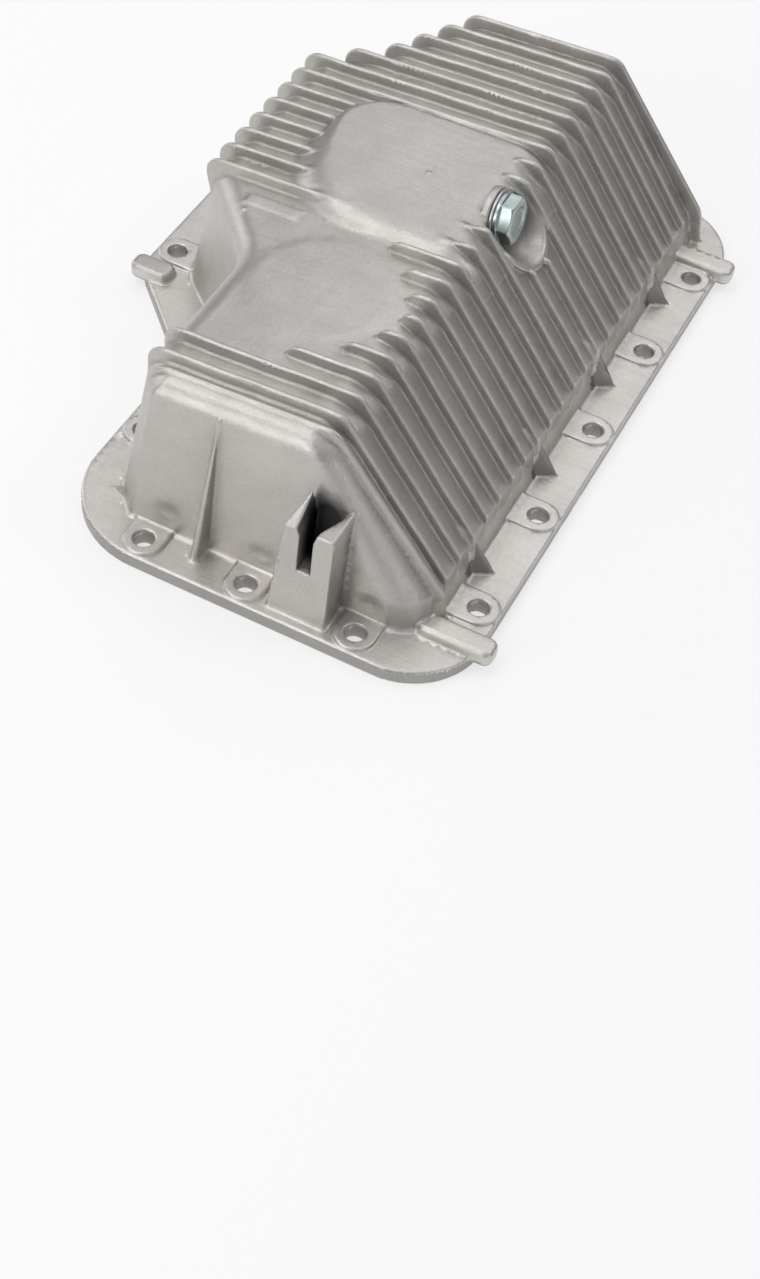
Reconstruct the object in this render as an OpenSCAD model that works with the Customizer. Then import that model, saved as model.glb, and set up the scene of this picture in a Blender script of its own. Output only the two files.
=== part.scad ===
// Engine oil pan: a finned casting with a drain plug, drawn with its gasket face down.
// Places are millimetres from the first bolt hole of the straight side. X runs along
// that side from the narrow end, Y crosses the pan, and Z rises from the gasket face.
// The whole part is then moved so that its origin lies under the middle of its box.

/* [Flange] */
// Pitch of the five bolts of the straight side
bolt_pitch = 60; // [58:0.5:62]
// Diameter of every bolt hole
bolt_hole_d = 9; // [7:0.5:10]
// Thickness of the flange
flange_t = 7; // [6:0.5:8]
// From the straight edge to its row of bolts
straight_margin = 9.5; // [9:0.5:12]
// From the narrow end's edge to the first bolt
narrow_margin = 48; // [46:0.5:50]
// From the last bolt of the straight side to the far edge
far_margin = 51.7; // [50:0.1:55]
// From the row of bolts to the opposite edge, at the narrow end
narrow_reach = 179.5; // [178:0.5:184]
// From the row of bolts to the opposite edge, at the wide part
wide_reach = 226.8; // [225:0.5:230]
// Height of the pads round the bolt holes
bolt_pad_h = 0.8; // [0.4:0.1:1.5]
// Run of those pads from a hole towards the wall
bolt_pad_run = 12; // [11:0.5:13]

/* [Sump] */
// Thickness of the sump's walls
wall_t = 4; // [3:0.25:5]
// Height of the sump's floor at the knee, outside
sump_h = 84.2; // [82:0.2:86]
// Fall of the floor away from the knee, in degrees, so that the oil runs to the plug
floor_fall = 3; // [2:0.25:4]
// Height at which the straight side's wall bends into the slope
bend_h = 20.5; // [18:0.5:24]
// Angle of the slope from level
slope_angle = 51.6; // [50:0.2:53]
// Radius of the sump's outer top edge
edge_r = 9; // [6:0.5:11]
// Radius of the sump's inner floor edge
inner_edge_r = 5; // [3:0.5:6]

/* [Fins] */
// Pitch of the cooling fins
fin_pitch = 13.1; // [12.8:0.05:13.4]
// Width of a fin at its crest
fin_crest = 1.6; // [1.2:0.1:2.4]
// Width of a fin at its root
fin_root = 5.6; // [4.8:0.2:6.4]
// Height of the fins above the slope
slope_fin_h = 4.2; // [3:0.2:5]
// Height of the fins above the sump's floor
top_fin_h = 5.3; // [4:0.1:7]
// Number of the ordinary fins
fin_count = 21; // [18:1:21]

/* [Pads] */
// Height of the round pad above the sump's floor
round_pad_h = 0.6; // [0.4:0.1:1.5]
// Radius of the round pad
round_pad_r = 33; // [30:0.5:34]
// Height of the sump pad above the sump's floor at the knee
sump_pad_h = 2.8; // [2:0.2:5]
// Depth of the recess under the sump pad, inside, at the knee
recess_h = 2.6; // [1.5:0.2:4]

/* [Drain plug] */
// Place of the plug along the pan
plug_x = 147; // [145:0.5:149]
// Depth of the plug's axis below the floor at the knee, at the seat
plug_drop = 4.7; // [3:0.1:6]
// Tilt of the plug's axis: its outer end stands higher, so that the oil runs to it
plug_tilt = 6; // [0:1:12]
// Place across the pan of the face that the washer seats on
seat_y = 69; // [67:0.25:70]
// Diameter of the plug's shank
shank_d = 12; // [10:0.5:14]
// Clearance round the shank in its hole, on the diameter
shank_clearance = 0.4; // [0.2:0.1:0.8]
// Length of the shank, from the washer
shank_l = 16; // [12:0.5:18]
// Width of the hexagon across its flats
hex_af = 19; // [17:1:19]
// Length of the head, from the washer
head_l = 8; // [7:0.5:10]
// Diameter of the head's own collar
collar_d = 22.5; // [21:0.5:24]
// Thickness of the head's collar
collar_t = 2; // [1.5:0.25:3]
// Diameter of the sealing washer
washer_d = 24; // [23:0.5:25]
// Thickness of the sealing washer
washer_t = 1.5; // [1:0.25:2]

/* [Narrow end] */
// Place across the pan of the end wall's rib
end_rib_y = 113; // [110:0.5:120]
// Height of the end wall's rib
end_rib_h = 62; // [56:0.5:66]
// Place across the pan of the slotted bracket's middle
bracket_y = 61; // [60:0.5:63]
// Width of the bracket at the flange
bracket_w = 25.5; // [24:0.5:28]
// Width of the bracket's slot
bracket_slot_w = 6.5; // [5:0.5:8]
// Height at which the slot starts
bracket_slot_z = 34; // [30:0.5:38]
// Height of the bracket
bracket_h = 58; // [56:0.5:62]

/* [Hidden] */

// Pieces of a circle, of an arc at a corner, and of the rounding over an edge
round_fn = 48;
corner_steps = 4;
edge_steps = 4;
// Overlap of joined solids, and overshoot of every cut
sink = 0.5;
cut = 1;

// Flange outline: corners with their radii, anticlockwise from the straight side's narrow end
near_x = -narrow_margin;
far_x = 4 * bolt_pitch + far_margin;
flange_corners = [
    [near_x, -straight_margin, 34],
    [far_x, -straight_margin, 37],
    [far_x, 150, 22],
    [far_x - 50.7, 189, 15],
    [far_x - 67.5, wide_reach, 30],
    [110, wide_reach, 20],
    [63, narrow_reach, 20],
    [near_x, narrow_reach, 43]
];

// Outer wall where it leaves the flange, and the edge of the sump's floor
foot_near = near_x + 19.5;
foot_far = far_x - 16.7;
foot_straight = 11;
foot_narrow = narrow_reach - 19;
foot_wide = wide_reach - 20.8;
foot_corners = [
    [foot_near, foot_straight, 19],
    [foot_far, foot_straight, 9],
    [foot_far, 143.5, 16],
    [foot_far - 44, 173, 8],
    [foot_far - 60, foot_wide, 14],
    [117.5, foot_wide, 22],
    [76.5, foot_narrow, 24],
    [foot_near, foot_narrow, 22]
];
far_corner_fill = 13;
floor_near = near_x + 27;
floor_far = far_x - 19.3;
floor_narrow = narrow_reach - 28.5;
floor_wide = wide_reach - 36.8;
knee_y = 65.2;
floor_corners = [
    [floor_near, knee_y, 6],
    [floor_far, knee_y, 6],
    [floor_far, 138, 12],
    [floor_far - 53, 167, 8],
    [floor_far - 62, floor_wide, 8],
    [112, floor_wide, 18],
    [66, floor_narrow, 24],
    [floor_near, floor_narrow, 20]
];
// A point inside every outline that sees the whole of it
hub = [150, 100];

// Straight side: a short wall up to the bend, then the slope up to the knee
slope_run = (sump_h - bend_h) / tan(slope_angle);
bend_y = knee_y - slope_run;
function short_wall_y(z) = foot_straight + (bend_y - foot_straight) * (z - flange_t) / (bend_h - flange_t);
function slope_y(z) = bend_y + (z - bend_h) / tan(slope_angle);
function slope_z(y) = bend_h + (y - bend_y) * tan(slope_angle);
slope_wall_t = wall_t / sin(slope_angle);
function fall(y) = max(0, y - knee_y) * tan(floor_fall);
function floor_z(y) = sump_h - fall(y);
function outer_side_y(z) = z < bend_h ? short_wall_y(z) : slope_y(z);
function inner_side_y(z) = max(short_wall_y(z), slope_y(z) + slope_wall_t - wall_t);
inner_bend_h = bend_h - wall_t * 0.6;

// Fin crests: a line above the slope, a line that falls across the floor, and their meeting
crest_top_z = sump_h + top_fin_h;
crest_shift = slope_fin_h / sin(slope_angle);
crest_knee_y = knee_y - crest_shift + top_fin_h / tan(slope_angle);
function crest_slope_z(y) = slope_z(y + crest_shift);
function crest_z(y) = crest_top_z - (y - crest_knee_y) * tan(floor_fall);

// Fins: places, lower ends, stops beside the round pad and starts behind the sump pad
first_fin_x = floor_near + 14.9;
function fin_x(i) = first_fin_x + i * fin_pitch;
fin_foot_y = 13.2;
fin_foot_z = 15;
fin_end_z = 63;
near_overhang = 2;
far_overhang = 6;
fin_end_r = 9;
fin_stops = [103, 85, 76.5, 72.5, 76, 84.5, 97, 81];
fin_starts = [124, 142, 153.5, 158.5, 160, 156.5];
pocket_fin_y = 41;
near_band_x = first_fin_x - 5.9;
near_band_share = 0.62;
far_band_x = fin_x(fin_count);
far_band_depth = 3;
band_foot_y = 6;
gusset_w = 7.5;
gusset_reach = 3.1;
gusset_h = 28;

// Pads on the floor
round_pad_x = 62;
round_pad_y = 110;
sump_pad_near = 103;
sump_pad_far = sump_pad_near + 87;
sump_pad_straight = 74.5;
sump_pad_across = 157;
sump_pad_corners = [
    [sump_pad_near, sump_pad_straight, 18],
    [sump_pad_far, sump_pad_straight, 9],
    [sump_pad_far - 3, sump_pad_across, 24],
    [sump_pad_near, sump_pad_across, 44]
];

// Drain plug: the pocket is a cone in front of the seat, with a dome of even wall behind it
pocket_r = 14.5;
pocket_flare = 0.28;
pocket_l = 40;
boss_r = 10;
boss_l = 18;
bore_d = shank_d + shank_clearance;

// Bolt holes: the straight side's row, then round the far end and back to the narrow end.
// Each has its place, and the direction in which its raised pad runs to the wall.
bolts = [
    for (i = [0 : 4]) [i * bolt_pitch, 0, 90],
    [far_x - 9, 33.7, 180],
    [far_x - 9, 99.7, 180],
    [far_x - 24.8, 161.6, 210],
    [far_x - 62.5, 189.7, 200],
    [187, wide_reach - 10.3, 270],
    [126, wide_reach - 10.3, 270],
    [77.2, narrow_reach - 1.8, 300],
    [16.7, narrow_reach - 10.4, 270],
    [near_x + 10.2, 136.1, 0],
    [near_x + 10.2, 87.9, 0],
    [near_x + 10.2, 37.5, 0]
];

// Casting lugs past the flange's edge: middle along X, lower Y, length in Y and width
lug_low = 4;
lug_high = 12;
lug_reach = 7;
lugs = [
    [108, wide_reach - 18, 20.5, 10],
    [-19.5, -straight_margin - lug_reach, 23, 9],
    [253, -straight_margin - lug_reach, 23, 9]
];
box_near_y = -straight_margin - lug_reach;
box_far_y = wide_reach + 2.5;

// Vectors of outline corners: each corner is [x, y, radius]
function unit(v) = v / norm(v);
function left_of(v) = [-v[1], v[0]];
function flat(p) = [p[0], p[1]];
function turn(a, b) = a[0] * b[1] - a[1] * b[0];
function spin(v, a) = [v[0] * cos(a) - v[1] * sin(a), v[0] * sin(a) + v[1] * cos(a)];
function mix(a, b, t) = a + (b - a) * t;
function around(c, i) = c[(i + len(c)) % len(c)];

// An outline moved inwards by d, and an outline or path with its corners rounded
function inset_corner(p, q, r, d) =
    let (n1 = left_of(unit(flat(q) - flat(p))), n2 = left_of(unit(flat(r) - flat(q))))
    let (moved = flat(q) + d * (n1 + n2) / (1 + n1 * n2))
    let (side = turn(flat(q) - flat(p), flat(r) - flat(q)) > 0 ? -1 : 1)
    [moved[0], moved[1], max(1, q[2] + side * d)];
function inset(c, d) =
    [for (i = [0 : len(c) - 1]) inset_corner(around(c, i - 1), c[i], around(c, i + 1), d)];
function corner_arc(p, q, r, n) =
    let (a = unit(flat(p) - flat(q)), b = unit(flat(r) - flat(q)))
    let (half = acos(max(-1, min(1, a * b))) / 2)
    let (room = 0.48 * min(norm(flat(p) - flat(q)), norm(flat(r) - flat(q))))
    let (radius = min(q[2], room * tan(half)))
    let (centre = flat(q) + unit(a + b) * radius / sin(half))
    let (start = flat(q) + a * radius / tan(half))
    let (sweep = (180 - 2 * half) * (turn(a, b) < 0 ? 1 : -1))
    [for (i = [0 : n]) centre + spin(start - centre, sweep * i / n)];
function rounded(c, n = corner_steps) =
    [for (i = [0 : len(c) - 1]) each corner_arc(around(c, i - 1), c[i], around(c, i + 1), n)];
function rounded_path(c, n) =
    let (last = len(c) - 1)
    [flat(c[0]), each [for (i = [1 : last - 1]) each corner_arc(c[i - 1], c[i], c[i + 1], n)], flat(c[last])];

// Outline of the sump's wall at a height, with the straight side where its profile puts it,
// and more radius at the foot of the far corner if asked for
function wall_corners(z, side_y, fill = 0) =
    let (t = max(0, (z - flange_t) / (sump_h - flange_t)))
    let (c = mix(foot_corners, floor_corners, t))
    [for (i = [0 : len(c) - 1]) i < 2 ? [c[i][0], side_y, c[i][2] + i * fill * (1 - t)] : c[i]];

// Heights and insets of the rings that round an edge of radius r below height z
function edge_rings(z, r) =
    [for (i = [1 : edge_steps]) let (a = 90 * i / edge_steps) [z - r + r * sin(a), r * (1 - cos(a))]];

// Height of a point of the walls: the nearer to the floor, the more it follows the floor's fall
function leaned(p, z) = z - fall(p[1]) * max(0, min(1, (z - bend_h) / (sump_h - edge_r - bend_h)));

// A closed solid through outlines of equal length, each at its own height, level or leaned
module loft(outlines, heights, lean = false) {
    n = len(outlines[0]);
    m = len(outlines);
    points = [
        for (k = [0 : m - 1]) each
            [for (p = outlines[k]) [p[0], p[1], lean ? leaned(p, heights[k]) : heights[k]]],
        [hub[0], hub[1], heights[0]],
        [hub[0], hub[1], lean ? leaned(hub, heights[m - 1]) : heights[m - 1]]
    ];
    sides = [for (k = [0 : m - 2]) for (i = [0 : n - 1]) let (j = (i + 1) % n)
        each [[k * n + i, (k + 1) * n + i, (k + 1) * n + j], [k * n + i, (k + 1) * n + j, k * n + j]]];
    bottom = [for (i = [0 : n - 1]) [n * m, i, (i + 1) % n]];
    top = [for (i = [0 : n - 1]) [n * m + 1, (m - 1) * n + (i + 1) % n, (m - 1) * n + i]];
    polyhedron(points, [each sides, each bottom, each top]);
}

// One fin: its crest and root are paths in the YZ plane with a radius at each bend, and the
// skin between them runs through levels of [offset along X, share of the way to the root]
function path_inside(c, i, d) =
    let (a = flat(c[max(0, i - 1)]), b = flat(c[i]), e = flat(c[min(len(c) - 1, i + 1)]))
    let (n1 = i > 0 ? left_of(unit(b - a)) : left_of(unit(e - b)))
    let (n2 = i < len(c) - 1 ? left_of(unit(e - b)) : n1)
    let (q = b - d * (n1 + n2) / (1 + n1 * n2))
    [q[0], q[1], 1];

module fin(x, crest, root, steps = 3) {
    levels = [
        [-fin_root / 2, 1],
        [-fin_crest * 0.9, 0.16],
        [-fin_crest * 0.35, 0],
        [fin_crest * 0.35, 0],
        [fin_crest * 0.9, 0.16],
        [fin_root / 2, 1]
    ];
    outer = [for (l = levels) rounded_path(mix(crest, root, l[1]), steps)];
    inner = rounded_path([for (i = [0 : len(root) - 1]) path_inside(root, i, wall_t * 0.8)], steps);
    n = len(inner);
    m = len(levels);
    points = [
        for (k = [0 : m - 1]) each [for (p = outer[k]) [x + levels[k][0], p[0], p[1]]],
        each [for (p = inner) [x + levels[0][0], p[0], p[1]]],
        each [for (p = inner) [x + levels[m - 1][0], p[0], p[1]]]
    ];
    last = (m - 1) * n;
    left = m * n;
    right = left + n;
    skin = [for (k = [0 : m - 2]) for (i = [0 : n - 2])
        each [[k * n + i, k * n + i + 1, (k + 1) * n + i + 1], [k * n + i, (k + 1) * n + i + 1, (k + 1) * n + i]]];
    near_side = [for (i = [0 : n - 2]) each [[i + 1, i, left + i], [i + 1, left + i, left + i + 1]]];
    far_side = [for (i = [0 : n - 2])
        each [[last + i, last + i + 1, right + i + 1], [last + i, right + i + 1, right + i]]];
    under = [for (i = [0 : n - 2])
        each [[left + i, right + i, right + i + 1], [left + i, right + i + 1, left + i + 1]]];
    start = [[left, last, right], each [for (k = [0 : m - 2]) [left, k * n, (k + 1) * n]]];
    stop = [[right - 1, right + n - 1, last + n - 1],
        each [for (k = [0 : m - 2]) [right - 1, (k + 2) * n - 1, (k + 1) * n - 1]]];
    polyhedron(points, [each skin, each near_side, each far_side, each under, each start, each stop]);
}

// Fin path pieces: the lower end on the short wall, the knee, an end or a start that stands
// on the floor, and an end that rounds down over the far wall
function far_edge_y(c, x) = lookup(x, [for (i = [7 : -1 : 2]) flat(c[i])]);
function far_wall_y(x, z) =
    let (edge = far_edge_y(floor_corners, x))
    mix(far_edge_y(foot_corners, x), edge, (z - flange_t) / (floor_z(edge) - flange_t));
crest_foot = [[fin_foot_y, fin_foot_z, 0], [fin_foot_y, crest_slope_z(fin_foot_y), 3.5]];
root_foot = [[fin_foot_y + 1, fin_foot_z, 0], [bend_y + sink, bend_h, 3]];
crest_knee = [[crest_knee_y, crest_top_z, 8]];
root_knee = [[knee_y + sink, sump_h - sink, 3]];
function crest_stop(y) = [[y, crest_z(y), 4], [y + 0.5, floor_z(y) - 1.5, 0]];
function root_stop(y) = [[y - 2.5, floor_z(y) - sink, 1.5], [y - 2, floor_z(y) - 1.5, 0]];
function crest_start(y) = [[y - 0.5, floor_z(y) - 1.5, 0], [y, crest_z(y), 4]];
function root_start(y) = [[y + 2, floor_z(y) - 1.5, 0], [y + 2.5, floor_z(y) - sink, 1.5]];
function crest_over(x) =
    let (y = far_edge_y(floor_corners, x) + (x > round_pad_x ? far_overhang : near_overhang))
    [[y, crest_z(y), fin_end_r], [far_wall_y(x, fin_end_z) - sink, fin_end_z, 0]];
function root_over(x) =
    let (y = far_edge_y(floor_corners, x) - sink)
    [[y, floor_z(y) - sink, edge_r], [far_wall_y(x, fin_end_z) - 2 * sink, fin_end_z, 0]];
function crest_on_slope(y) = [[y, crest_slope_z(y), 3], [y + 4, crest_slope_z(y) - 2, 0]];
function root_on_slope(y) = [[y - 1, slope_z(y - 1) - sink, 1], [y, slope_z(y) - 3, 0]];

module fins() {
    for (i = [0 : fin_count - 1]) {
        x = fin_x(i);
        if (i < 2 || i > 14) {
            fin(x, [each crest_foot, each crest_knee, each crest_over(x)],
                [each root_foot, each root_knee, each root_over(x)]);
        } else if (i == 11 || i == 12) {
            fin(x, [each crest_foot, each crest_on_slope(pocket_fin_y)],
                [each root_foot, each root_on_slope(pocket_fin_y)]);
        } else {
            y = i < 10 ? fin_stops[i - 2] : sump_pad_straight + 2;
            fin(x, [each crest_foot, each crest_knee, each crest_stop(y)],
                [each root_foot, each root_knee, each root_stop(y)]);
        }
        if (i > 8 && i < 15) {
            y = fin_starts[i - 9];
            fin(x, [each crest_start(y), each crest_over(x)], [each root_start(y), each root_over(x)]);
        }
    }
}

// Bands at both ends of the finned faces run down to the flange: the far one is as high as the
// fins and its root reaches down the rounded edge, and the near one is low
module end_bands() {
    foot = [foot_straight + 1, flange_t - cut, 0];
    bend = [bend_y + sink, bend_h, 3];
    lowered = [0, -far_band_depth, 0];
    crest = [[band_foot_y, flange_t - cut, 0], [band_foot_y + 2.5, 24, 14], each crest_knee];
    near_crest = [each crest, each crest_over(near_band_x)];
    near_root = [foot, bend, each root_knee, each root_over(near_band_x)];
    far_root = [foot, bend, for (p = [each root_knee, each root_over(far_band_x)]) p + lowered];
    fin(near_band_x, mix(near_crest, near_root, near_band_share), near_root);
    fin(far_band_x, [each crest, each crest_over(far_band_x)], far_root);
}

// A tapering web: its foot is a triangle on the flange and its top a small one on the wall
module web(foot, top, top_z) {
    points = [
        for (p = foot) [p[0], p[1], flange_t - cut],
        for (p = top) [p[0], p[1], top_z]
    ];
    polyhedron(points, [[0, 1, 2], [5, 4, 3], [0, 2, 5], [0, 5, 3], [2, 1, 4], [2, 4, 5], [1, 0, 3], [1, 3, 4]]);
}

// Gussets carry every fifth fin down to the flange
module gussets() {
    for (i = [2 : 5 : 17]) {
        x = fin_x(i);
        web([[x + gusset_w / 2, foot_straight + 2], [x - gusset_w / 2, foot_straight + 2], [x, gusset_reach]],
            [[x + fin_crest, fin_foot_y + 4], [x - fin_crest, fin_foot_y + 4], [x, fin_foot_y + sink]], gusset_h);
    }
}

module flange() {
    linear_extrude(flange_t) polygon(rounded(flange_corners, 8));
}

module bolt_pads() {
    for (b = bolts) {
        translate([b[0], b[1], flange_t - sink]) {
            rotate(b[2]) linear_extrude(bolt_pad_h + sink)
                polygon([[bolt_pad_run, -bolt_hole_d], [bolt_pad_run, bolt_hole_d],
                    for (a = [90 : 15 : 270]) bolt_hole_d * [cos(a), sin(a)]]);
        }
    }
}

module bolt_holes() {
    for (b = bolts) {
        translate([b[0], b[1], -cut])
            cylinder(d = bolt_hole_d, h = flange_t + bolt_pad_h + 2 * cut, $fn = round_fn);
    }
}

module sump_outside() {
    rings = [
        [flange_t - sink, 0],
        [flange_t, 0],
        [bend_h, 0],
        [sump_h - edge_r, 0],
        each edge_rings(sump_h, edge_r)
    ];
    outlines = [for (g = rings) rounded(inset(wall_corners(g[0], outer_side_y(g[0])), g[1]))];
    loft(outlines, [for (g = rings) g[0]], lean = true);
}

module sump_inside() {
    rings = [
        [-cut, -sink],
        [0, -sink],
        [wall_t - sink, wall_t],
        [inner_bend_h, wall_t],
        [sump_h - wall_t - inner_edge_r, wall_t],
        each [for (g = edge_rings(sump_h - wall_t, inner_edge_r)) [g[0], g[1] + wall_t]]
    ];
    outlines = [for (g = rings) rounded(inset(wall_corners(g[0], inner_side_y(g[0]), far_corner_fill), g[1]))];
    loft(outlines, [for (g = rings) g[0]], lean = true);
}

// Round pad at the narrow part, square to the fall of the floor
module round_pad() {
    translate([round_pad_x, round_pad_y, floor_z(round_pad_y)]) rotate([-floor_fall, 0, 0])
        translate([0, 0, -sink]) cylinder(r = round_pad_r, h = round_pad_h + sink, $fn = 2 * round_fn);
}

// Sump pad: the slope runs up to it, its other sides are drafted and its top edge is rounded.
// Each ring has its height, the place of its straight side and the inset of its outline.
module pad_loft(rings) {
    outlines = [for (g = rings)
        rounded(inset([for (i = [0 : 3]) i < 2 ? [sump_pad_corners[i][0], g[1], sump_pad_corners[i][2]]
            : sump_pad_corners[i]], g[2]), 5)];
    loft(outlines, [for (g = rings) g[0]]);
}

module sump_pad() {
    top = sump_h + sump_pad_h;
    foot = top - 11;
    rings = [
        [foot, slope_y(foot) + 2, -1.7],
        [top - 3, slope_y(top - 3) + sink, 0],
        [top - 0.8, slope_y(top) + 1, 0.6],
        [top, slope_y(top) + 5, 2]
    ];
    pad_loft(rings);
}

module sump_pad_recess() {
    top = sump_h - wall_t + recess_h;
    foot = top - 10;
    rings = [
        [foot, slope_y(foot) + slope_wall_t - wall_t + 1, wall_t - 1],
        [top - 1, slope_y(top - 1) + slope_wall_t - wall_t, wall_t + 1],
        [top, slope_y(top) + slope_wall_t - wall_t, wall_t + 2]
    ];
    pad_loft(rings);
}

// Everything round the plug is drawn along its axis, outwards from a depth behind the seat
module along_plug(depth) {
    translate([plug_x, seat_y, sump_h - plug_drop]) rotate([90 - plug_tilt, 0, 0])
        translate([0, 0, -depth]) children();
}

module plug_seat() {
    along_plug(wall_t) cylinder(d = washer_d + 1, h = wall_t, $fn = round_fn);
}

module plug_pocket() {
    along_plug(0) cylinder(r1 = pocket_r, r2 = pocket_r + pocket_l * pocket_flare, h = pocket_l, $fn = round_fn);
}

module plug_dome() {
    along_plug(wall_t)
        cylinder(r1 = pocket_r + wall_t, r2 = pocket_r + wall_t + pocket_l * pocket_flare,
            h = pocket_l, $fn = round_fn);
    along_plug(wall_t + boss_l - 2) cylinder(r = boss_r, h = boss_l, $fn = round_fn);
}

module plug_bore() {
    along_plug(wall_t + boss_l) cylinder(d = bore_d, h = wall_t + boss_l + 2 * cut, $fn = round_fn);
}

// Slotted bracket and rib on the narrow end's wall
module narrow_end_bracket() {
    front = near_x + 5;
    lean = 4;
    mouth = 9;
    half = bracket_w / 2;
    side = [
        [front, flange_t - cut],
        [front + lean, bracket_h],
        [floor_near + 2, bracket_h],
        [foot_near + 6, flange_t - cut]
    ];
    face = [
        [bracket_y - half, flange_t - cut],
        [bracket_y + half, flange_t - cut],
        [bracket_y + half - lean, bracket_h],
        [bracket_y + mouth - 1, bracket_h],
        [bracket_y + bracket_slot_w / 2, bracket_h - mouth],
        [bracket_y + bracket_slot_w / 2, bracket_slot_z],
        [bracket_y - bracket_slot_w / 2, bracket_slot_z],
        [bracket_y - bracket_slot_w / 2, bracket_h - mouth],
        [bracket_y - mouth - 1, bracket_h],
        [bracket_y - half - lean / 2, bracket_h]
    ];
    intersection() {
        translate([0, bracket_y + bracket_w, 0]) rotate([90, 0, 0])
            linear_extrude(2 * bracket_w) polygon(side);
        translate([near_x, 0, 0]) rotate([90, 0, 90])
            linear_extrude(-near_x) polygon(face);
    }
}

module end_rib() {
    web([[foot_near + 2, end_rib_y - 4], [foot_near + 2, end_rib_y + 4], [foot_near - 8.5, end_rib_y]],
        [[foot_near + 9, end_rib_y - 1], [foot_near + 9, end_rib_y + 1], [foot_near + 4.3, end_rib_y]], end_rib_h);
}

module casting_lugs() {
    for (l = lugs) {
        translate([l[0], l[1], lug_low]) linear_extrude(lug_high - lug_low)
            polygon(rounded([[-l[3] / 2, 0, 3], [l[3] / 2, 0, 3], [l[3] / 2, l[2], 3], [-l[3] / 2, l[2], 3]], 3));
    }
}

// Two stepped posts on the inner floor
module floor_posts() {
    for (p = [[52, 72], [82, 102]]) {
        translate([p[0], p[1], floor_z(p[1]) - wall_t]) {
            translate([0, 0, -6]) cylinder(d = 12, h = 6 + sink, $fn = round_fn);
            translate([0, 0, -18]) cylinder(d = 8, h = 13, $fn = round_fn);
        }
    }
}

module placed() {
    translate([-(near_x + far_x) / 2, -(box_near_y + box_far_y) / 2, 0]) children();
}

// The sump's walls, fins, bands, webs and pads in one skin
module sump_skin() {
    resize([0, 0, 0]) union() {
        sump_outside();
        fins();
        end_bands();
        gussets();
        round_pad();
        sump_pad();
        end_rib();
    }
}

module pan() {
    color("lightgray") placed() difference() {
        union() {
            difference() {
                union() {
                    sump_skin();
                    flange();
                    bolt_pads();
                    plug_seat();
                    narrow_end_bracket();
                    casting_lugs();
                }
                sump_inside();
                sump_pad_recess();
            }
            intersection() {
                sump_outside();
                plug_dome();
            }
            floor_posts();
        }
        plug_pocket();
        plug_bore();
        bolt_holes();
    }
}

module drain_plug() {
    color("silver") placed() {
        along_plug(-washer_t) cylinder(d = collar_d, h = collar_t, $fn = round_fn);
        along_plug(-washer_t) cylinder(d = hex_af / cos(30), h = head_l, $fn = 6);
        along_plug(shank_l - washer_t) cylinder(d = shank_d, h = shank_l + collar_t / 2, $fn = round_fn);
    }
}

module sealing_washer() {
    color("darkgray") placed() difference() {
        along_plug(0) cylinder(d = washer_d, h = washer_t, $fn = round_fn);
        along_plug(cut) cylinder(d = bore_d, h = washer_t + 2 * cut, $fn = round_fn);
    }
}

pan();
drain_plug();
sealing_washer();
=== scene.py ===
import math

import bpy
import numpy as np
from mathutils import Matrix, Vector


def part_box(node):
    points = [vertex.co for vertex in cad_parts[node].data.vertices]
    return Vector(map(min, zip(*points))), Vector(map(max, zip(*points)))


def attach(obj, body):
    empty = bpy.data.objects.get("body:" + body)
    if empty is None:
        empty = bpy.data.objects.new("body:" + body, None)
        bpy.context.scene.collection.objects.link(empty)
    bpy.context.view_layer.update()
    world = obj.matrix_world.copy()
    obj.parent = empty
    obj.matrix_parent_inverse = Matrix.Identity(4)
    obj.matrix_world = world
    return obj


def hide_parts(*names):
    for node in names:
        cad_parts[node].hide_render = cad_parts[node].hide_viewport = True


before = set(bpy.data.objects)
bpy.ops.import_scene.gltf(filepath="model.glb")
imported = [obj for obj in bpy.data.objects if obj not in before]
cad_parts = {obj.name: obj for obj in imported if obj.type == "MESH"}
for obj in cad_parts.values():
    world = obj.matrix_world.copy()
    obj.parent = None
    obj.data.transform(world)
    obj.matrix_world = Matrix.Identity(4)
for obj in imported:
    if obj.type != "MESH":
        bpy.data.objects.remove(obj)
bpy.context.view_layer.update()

import openvdb
from mathutils import Euler, Vector

METRES = 0.001
VOXEL = 0.6
PLUG_VOXEL = 0.25

# Flange: margins from the row of bolts, thickness and the raised pads round the holes
NARROW_MARGIN = 48
STRAIGHT_MARGIN = 9.5
LUG_REACH = 7
BOLT_PITCH = 60
HOLE_R = 4.5
FLANGE_T = 7
FLANGE_TOP_R = 1.2
FLANGE_FACE_R = 0.6
PAD_H = 1.5
PAD_R = 9

# Sump: walls, floor, the bend low on the straight side and the slope above it
WALL_T = 4
SUMP_H = 84.2
FLOOR_FALL = math.radians(3)
BEND_H = 20.5
SLOPE = math.radians(51.6)
KNEE_Y = 65.2
EDGE_R = 9
INNER_EDGE_R = 5
FOOT_FILLET = 1.8

# Fins: pitch, count, height over the slope and over the floor, crest radius, draft, fillet, how
# far they stray from straight and half the width in which each is drawn, and the height of the
# low band at the near end
FIN_PITCH = 13.1
FIN_COUNT = 21
SLOPE_FIN_H = 4.2
TOP_FIN_H = 5.3
CREST_R = 1.15
FIN_DRAFT = math.radians(8)
FIN_FILLET = 1
FIN_WAVE = 0.18
FIN_REACH = 7.5
NEAR_BAND_H = 1.7

# Pads on the floor
ROUND_PAD = (62, 110)
ROUND_PAD_R = 33
ROUND_PAD_H = 0.5
SUMP_PAD_H = 2.8
RECESS_H = 2.6

# Bracket on the near wall and its slot
BRACKET_X = -39.8
SLOT_Y = 61.1
SLOT_W = 6.1
SLOT_Z = 34.3

# Posts in the hollow, under the floor: their places, and radius and length of each step
POSTS = [(52, 72), (82, 102)]
POST_STEPS = [(6, 6), (4, 18)]

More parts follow.
